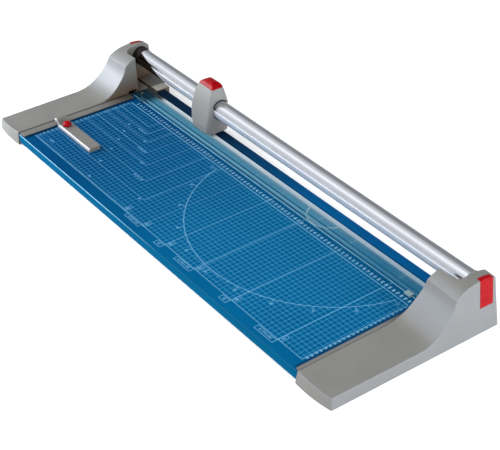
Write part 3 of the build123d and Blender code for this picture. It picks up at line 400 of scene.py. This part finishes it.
# ---------------------------------------------------------------- print pieces, with painted shadows and painted highlights
class Ink:
    """Collects thin closed strips and lettering into one mesh lying on a surface."""

    def __init__(self, z, thick=0.00004):
        self.bm = bmesh.new()
        self.z0 = z - 0.00003
        self.z1 = z + thick

    def prism(self, outline):
        low = [self.bm.verts.new((x, y, self.z0)) for x, y in outline]
        high = [self.bm.verts.new((x, y, self.z1)) for x, y in outline]
        self.bm.faces.new(list(reversed(low)))
        self.bm.faces.new(high)
        n = len(outline)
        for i in range(n):
            j = (i + 1) % n
            self.bm.faces.new((low[i], low[j], high[j], high[i]))

    def bar(self, a, b, width):
        """A straight strip from a to b, in grid mm."""
        a, b = P(*a).to_2d(), P(*b).to_2d()
        d = (b - a).normalized()
        n = Vector((-d.y, d.x)) * (width / 2000.0)
        self.prism([tuple(a - n), tuple(b - n), tuple(b + n), tuple(a + n)])

    def block(self, x0, x1, y0, y1, z0, z1):
        """An upright thin plate between two corners, in grid mm."""
        self.z0, self.z1 = z0 / 1000.0, z1 / 1000.0
        a, b = P(x0, y0), P(x1, y1)
        self.prism([(a.x, a.y), (b.x, a.y), (b.x, b.y), (a.x, b.y)])

    def arc(self, centre, radius, a0, a1, width, step=1.5):
        """A curved strip; angles in degrees below the X axis."""
        count = max(2, int(abs(a1 - a0) / step))
        ring = []
        for r in (radius - width / 2, radius + width / 2):
            ring.append([
                P(centre[0] + r * math.cos(math.radians(a0 + (a1 - a0) * i / count)),
                  centre[1] - r * math.sin(math.radians(a0 + (a1 - a0) * i / count))).to_2d()
                for i in range(count + 1)
            ])
        for i in range(count):
            quad = [ring[0][i], ring[1][i], ring[1][i + 1], ring[0][i + 1]]
            area = sum(p.x * q.y - q.x * p.y for p, q in zip(quad, quad[1:] + quad[:1]))
            if area < 0:
                quad.reverse()
            self.prism([tuple(p) for p in quad])

    def text(self, words, at, height, turn=0.0, squeeze=1.0, weight=0.0):
        """Lettering with its middle at a grid point; height in mm."""
        curve = bpy.data.curves.new("lettering", "FONT")
        curve.body = words
        curve.align_x = "CENTER"
        curve.align_y = "CENTER"
        curve.size = height / 1000.0 / 0.7
        curve.resolution_u = 3
        curve.offset = weight / 1000.0
        curve.extrude = (self.z1 - self.z0) / 2
        holder = bpy.data.objects.new("lettering", curve)
        scene.collection.objects.link(holder)
        bpy.context.view_layer.update()
        mesh = bpy.data.meshes.new_from_object(holder.evaluated_get(bpy.context.evaluated_depsgraph_get()))
        place = P(at[0], at[1], (self.z0 + self.z1) / 2)
        mesh.transform(Matrix.Translation(place) @ Matrix.Rotation(math.radians(turn), 4, "Z") @ Matrix.Diagonal((squeeze, 1, 1, 1)))
        self.bm.from_mesh(mesh)
        bpy.data.objects.remove(holder)
        bpy.data.curves.remove(curve)
        bpy.data.meshes.remove(mesh)

    def frame(self, x0, x1, y0, y1, width):
        self.bar((x0, y0), (x1, y0), width)
        self.bar((x0, y1), (x1, y1), width)
        self.bar((x0, y0), (x0, y1), width)
        self.bar((x1, y0), (x1, y1), width)

    def done(self, name, material, body):
        bmesh.ops.remove_doubles(self.bm, verts=self.bm.verts, dist=1e-8)
        mesh = bpy.data.meshes.new(name)
        self.bm.to_mesh(mesh)
        self.bm.free()
        mesh.materials.append(material)
        obj = bpy.data.objects.new(name, mesh)
        scene.collection.objects.link(obj)
        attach(obj, body)
        return obj


front, ruler = -299.5, -62.0
right_end = 905.0

# the ten-millimetre grid
g = Ink(TOP, 0.00003)
for i in range(1, 91):
    g.bar((10 * i, ruler), (10 * i, front), 0.68)
for i in range(7, 30):
    g.bar((8, -10 * i), (right_end, -10 * i), 0.68)
g.done("print_grid", M["ink_fine"], "base")

# ruler line, borders and the outlines of the paper formats
g = Ink(TOP, 0.00005)
g.bar((14, ruler), (right_end, ruler), 1.5)
g.bar((8, front), (right_end, front), 0.9)
g.bar((right_end, ruler), (right_end, front), 1.0)
g.bar((15, ruler), (15, front), 0.7)
formats = [(125, 88), (148, 105), (176, 125), (210, 148), (250, 176), (297, 210), (353, 250), (420, 297)]
for w, h in formats:
    g.bar((8, -h), (w, -h), 0.6)
    g.bar((w, ruler), (w, -h), 0.6)
for x, y1 in ((500, -313), (594, -300), (707, -313), (841, -313)):
    g.bar((x, -6.5), (x, y1), 1.0)
g.bar((613, -7), (613, -40), 0.9)
# protractor
for a in range(15, 166, 5):
    r1 = 284.5 if a % 15 == 0 else 280.5
    c, s = math.cos(math.radians(a)), math.sin(math.radians(a))
    g.bar((613 + 275.5 * c, -275.5 * s), (613 + r1 * c, -r1 * s), 0.9)
g.arc((613, 0), 276.5, 14.8, 165.2, 1.1)
g.done("print_outlines", M["ink"], "base")

# centimetres along the cut and down the right side, in the brightest ink
g = Ink(TOP, 0.00006)
for n in range(3, 91):
    g.text(str(n), (10 * n - 1.0, -53.6), 8.0, squeeze=0.42 if n > 9 else 0.6, weight=0.06)
for n in range(7, 30):
    g.text(str(n), (907.4, -10 * n), 4.6, squeeze=0.62, weight=0.06)
g.done("print_centimetres", M["ink_bright"], "base")

# painted highlight along the rounded front fold, pale at the left and fading into the blue towards the right
g = Ink(TOP, 0.00004)
g.block(-15, 921, -324.24, -324.17, 24.3, 26.1)
g.done("fold_highlight_strip", M["fold"], "base")

# dark bands: painted shadows in front of the clear strip and under the left fence's overhang, and a dark band beside
# the right fence
g = Ink(TOP, 0.00005)
g.bar((8, -47.4), (right_end, -47.4), 1.8)
g.bar((6.4, -48.2), (6.4, -319), 3.2)
g.bar((912.6, -48.2), (912.6, -319), 4.6)
g.done("dark_bands_and_shadows", M["ink_navy"], "base")

# lettering: left-hand centimetres, degrees, format names
g = Ink(TOP, 0.00006)
for n in range(7, 30):
    g.text(str(n), (11.0, -10 * n), 5.2, squeeze=0.72)
for a in range(15, 166, 15):
    shown = a if a <= 90 else 180 - a
    c, s = math.cos(math.radians(a)), math.sin(math.radians(a))
    g.text(str(shown), (613 + 289 * c, -289 * s), 6.2, squeeze=0.8)
for words, x, y, h in (
    ("A6 105 x 148", 131, -110, 4.6), ("B6", 169, -129, 5.0), ("A5 148 x 210", 193, -152.5, 4.6), ("B5", 236, -180, 5.0),
    ("A4 210 x 297", 276, -214.5, 5.2), ("B4", 343, -254.5, 5.4),
    ("A3 297 x 420", 396, -304, 5.4), ("B3", 490, -307.5, 5.6), ("A2 420 x 594", 569, -306.5, 5.8), ("B2", 697, -307.5, 5.6), ("A1 594 x 841", 816, -307.5, 5.8),
):
    g.text(words, (x, y), h, squeeze=0.78)
for words, x, y in (("B7", 90, -117), ("A6", 107, -140.5), ("B6", 128, -167), ("A5", 151, -200), ("B5", 178, -243), ("A4", 213, -290)):
    g.text(words, (x, y), 5.2, turn=-38, squeeze=0.8)
for words, x in (("B4", 357.6), ("A3", 424.6), ("B3", 504.6), ("A2", 599.6), ("B2", 711.6), ("A1", 845.6)):
    g.text(words, (x, -290.5), 5.6, turn=90)
    g.frame(x - 4.2, x + 4.6, -298.5, -282.5, 0.6)
for x0, x1, y0, y1 in ((372, 420, -308.5, -299.5), (480, 500, -313, -302), (545, 594, -312, -301), (687, 707, -313, -302), (791, 841, -313, -302)):
    g.frame(x0, x1, y0, y1, 0.8)
g.text("cm", (50, -282), 7.0, squeeze=1.3)
g.done("print_lettering", M["ink"], "base")

# pale angle mark on the clear strip
g = Ink(0.0300, 0.00005)
g.arc((613, 4), 44.5, 14.5, 165.5, 3.6, 3.0)
g.bar((606, -38.2), (620, -38.2), 3.0)
g.done("strip_angle_mark", M["strip_mark"], "clamp")

# lines of the long paper formats and of the angle scale, carried over the strip
g = Ink(0.0300, 0.00005)
for x in (420, 500, 613, 707, 841):
    g.bar((x, -27), (x, -9), 1.3)
g.done("strip_format_lines", M["strip_mark"], "clamp")

# painted highlight along the clear strip's front edge
g = Ink(0.0300, 0.00004)
g.bar((-8, -42.4), (914, -42.4), 0.8)
g.done("strip_front_highlight", M["ink_bright"], "clamp")

# a painted highlight: a pale strip laid on the tube's surface along the guide groove's lower lip, lit by the key light
lip = bmesh.new()
ends = []
for x in (-0.443, 0.516):
    ring = []
    for r, turn in ((19.87, 10.6), (19.93, 10.6), (19.93, 14.6), (19.87, 14.6)):
        a = math.radians(turn)
        ring.append(lip.verts.new((x, CUT + (20.0 - r * math.cos(a)) / 1000.0, (82.5 + r * math.sin(a)) / 1000.0)))
    ends.append(ring)
for i in range(4):
    j = (i + 1) % 4
    lip.faces.new((ends[0][i], ends[0][j], ends[1][j], ends[1][i]))
lip.faces.new(list(reversed(ends[0])))
lip.faces.new(ends[1])
bmesh.ops.recalc_face_normals(lip, faces=lip.faces)
mesh = bpy.data.meshes.new("tube_highlight_strip")
lip.to_mesh(mesh)
lip.free()
mesh.materials.append(steel("groove_highlight_paint", srgb(226, 230, 238), srgb(212, 217, 226), (0.25, 0.35), (5, 2200, 2200), 0.05, 0.1).m)
edge = bpy.data.objects.new("tube_highlight_strip", mesh)
scene.collection.objects.link(edge)
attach(edge, "base")

# ------------------------------------------------------------- floor and light
bpy.ops.mesh.primitive_plane_add(size=30)
floor = bpy.context.object
floor.name = "floor"
k = Mat("floor_pale")
k.colour(k.ramp(k.noise((3, 3, 3), 2.0), [(0.3, (0.86, 0.86, 0.86)), (0.7, (0.89, 0.89, 0.89))]))
k.set(Roughness=0.9, Specular_IOR_Level=0.1, Emission_Color=(1, 1, 1, 1), Emission_Strength=0.3)
floor.data.materials.append(k.m)

world = bpy.data.worlds.new("studio")
scene.world = world
world.use_nodes = True
wt = world.node_tree
bg = wt.nodes["Background"]
way = wt.nodes.new("ShaderNodeTexCoord")


def glow(towards, low, high, gain, base):
    """Adds a smooth patch of sky around one direction to what is already there."""
    lean = wt.nodes.new("ShaderNodeVectorMath")
    lean.operation = "DOT_PRODUCT"
    lean.inputs[1].default_value = Vector(towards).normalized()
    wt.links.new(way.outputs["Generated"], lean.inputs[0])
    sweep = wt.nodes.new("ShaderNodeMapRange")
    sweep.interpolation_type = "SMOOTHSTEP"
    for socket, value in (("From Min", low), ("From Max", high), ("To Min", 0.0), ("To Max", gain)):
        sweep.inputs[socket].default_value = value
    wt.links.new(lean.outputs["Value"], sweep.inputs["Value"])
    total = wt.nodes.new("ShaderNodeMath")
    wt.links.new(sweep.outputs["Result"], total.inputs[0])
    if isinstance(base, float):
        total.inputs[1].default_value = base
    else:
        wt.links.new(base, total.inputs[1])
    return total.outputs["Value"]


sky = glow((0.0, -1.0, 0.0), -0.2, 0.7, 0.35, 0.3)
sky = glow((-0.653, -0.196, 0.731), 0.75, 1.0, 0.46, sky)
sky = glow((-0.653, -0.32, 0.686), 0.972, 1.0, 0.45, sky)
wt.links.new(sky, bg.inputs["Strength"])
bg.inputs["Color"].default_value = (0.97, 0.985, 1.0, 1.0)


def softbox(name, at, aim, size, power, colour=(1, 1, 1)):
    data = bpy.data.lights.new(name, "AREA")
    data.shape = "RECTANGLE"
    data.size, data.size_y = size
    data.energy = power
    data.color = colour
    obj = bpy.data.objects.new(name, data)
    scene.collection.objects.link(obj)
    obj.location = at
    obj.rotation_euler = (Vector(aim) - Vector(at)).to_track_quat("-Z", "Y").to_euler()
    return obj


key = softbox("key_left_front", (-1.6, -1.1, 0.82), (-0.3, 0.0, 0.05), (1.2, 0.8), 46.0, (0.88, 0.94, 1.0))
softbox("overhead", (0.2, -0.6, 2.3), (0, 0, 0), (1.8, 1.2), 16.0, (1.0, 0.92, 0.82))
softbox("front_right", (0.6, -1.3, 1.6), (0.4, 0.05, 0.05), (1.0, 1.0), 11.0, (0.84, 0.92, 1.0))
softbox("right_fill", (2.1, 0.5, 0.55), (0.5, 0.1, 0.05), (1.4, 0.9), 44.0, (0.86, 0.93, 1.0))

# the polished tube is left out of the key light; the sky and the other lamps still reach it
spared = bpy.data.collections.new("key_spared")
spared.objects.link(nodes["guide_tube"])
key.light_linking.receiver_collection = spared
spared.collection_objects[0].light_linking.link_state = "EXCLUDE"

cam_data = bpy.data.cameras.new("camera")
cam_data.sensor_width = 36.0
cam_data.sensor_fit = "HORIZONTAL"
cam_data.lens = 92.65
cam_data.clip_end = 100.0
cam = bpy.data.objects.new("camera", cam_data)
scene.collection.objects.link(cam)
az, el, dist = math.radians(53.0), math.radians(35.13), 2.44617
target = Vector((0.0917, 0.00278, 0.0265))
back = Vector((math.sin(az) * math.cos(el), -math.cos(az) * math.cos(el), math.sin(el)))
cam.location = target + back * dist
cam.rotation_euler = (-back).to_track_quat("-Z", "Y").to_euler()
scene.camera = cam
